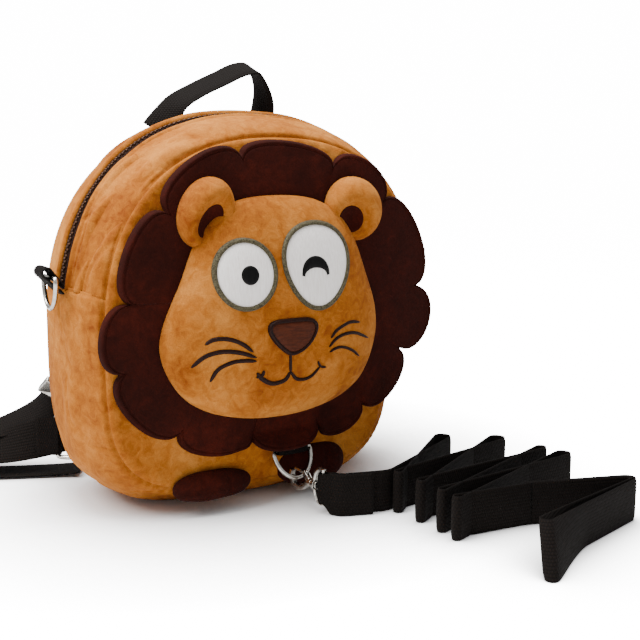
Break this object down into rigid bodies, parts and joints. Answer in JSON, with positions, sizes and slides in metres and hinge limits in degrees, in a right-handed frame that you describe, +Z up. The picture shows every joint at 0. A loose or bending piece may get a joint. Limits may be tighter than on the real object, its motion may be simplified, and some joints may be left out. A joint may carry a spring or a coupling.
{
  "type": "toddler harness backpack",
  "caption": "Small plush backpack for a toddler with a stuffed lion face, a carry handle, webbing shoulder straps and a detachable webbing leash on a snap hook.",
  "frame": {"origin": "on the floor at the middle of the bag's flat bottom", "axes": "+X to the viewer's right of the face, -Y out of the face towards the front, +Z up"},
  "size_m": [0.375, 0.3717, 0.2616],
  "materials": {
    "tan_plush": "short pile plush",
    "brown_plush": "long pile plush",
    "white_felt": "felt",
    "rim_thread": "satin stitch",
    "black_thread": "satin stitch",
    "brown_thread": "satin stitch",
    "nose_thread": "satin stitch",
    "brown_webbing": "flat woven webbing",
    "zipper_textile": "zipper tape",
    "nickel": "nickel plated",
    "brown_metal": "brown lacquer"
  },
  "bodies": {
    "bag": {"gusset_front": "tan_plush", "gusset_rear": "tan_plush", "gusset_lower": "tan_plush", "zipper_tape": "zipper_textile", "zip_slider": "brown_metal", "front_panel": "tan_plush", "back_panel": "tan_plush", "mane": "brown_plush", "face": "tan_plush", "eye_white_left": "white_felt", "eye_rim_left": "rim_thread", "pupil_left": "black_thread", "eye_white_right": "white_felt", "eye_rim_right": "rim_thread", "wink_right": "brown_thread", "nose": "nose_thread", "ear_left": "tan_plush", "inner_ear_left": "brown_plush", "ear_right": "tan_plush", "inner_ear_right": "brown_plush", "foot_left": "brown_plush", "foot_right": "brown_plush", "handle": "brown_webbing", "front_tab": "brown_webbing", "front_ring": "nickel", "hook_body": "nickel", "hook_loop": "nickel", "leash": "brown_webbing", "side_tab_left": "brown_webbing", "shoulder_strap_left": "brown_webbing", "strap_slider_left": "nickel", "lower_strap_left": "brown_webbing", "strap_ring_left": "nickel", "corner_tab_left": "brown_webbing", "side_tab_right": "brown_webbing", "shoulder_strap_right": "brown_webbing", "strap_slider_right": "nickel", "lower_strap_right": "brown_webbing", "strap_ring_right": "nickel", "corner_tab_right": "brown_webbing"},
    "gate": {"hook_gate": "nickel"},
    "ring_left": {"side_ring_left": "nickel"},
    "ring_right": {"side_ring_right": "nickel"}
  },
  "joints": [
    {"name": "gate_hinge", "type": "hinge", "parent": "bag", "child": "gate", "pos_m": [0.00682, -0.06926, 0.0196], "axis": [-0.995, -0.0999, 0], "range_deg": [0, 18]},
    {"name": "ring_left_swing", "type": "hinge", "parent": "bag", "child": "ring_left", "pos_m": [-0.12529, -0.0126, 0.1379], "axis": [0, 1, 0], "range_deg": [-3, 100]},
    {"name": "ring_right_swing", "type": "hinge", "parent": "bag", "child": "ring_right", "pos_m": [0.12529, -0.0126, 0.1379], "axis": [0, -1, 0], "range_deg": [-3, 100]}
  ]
}
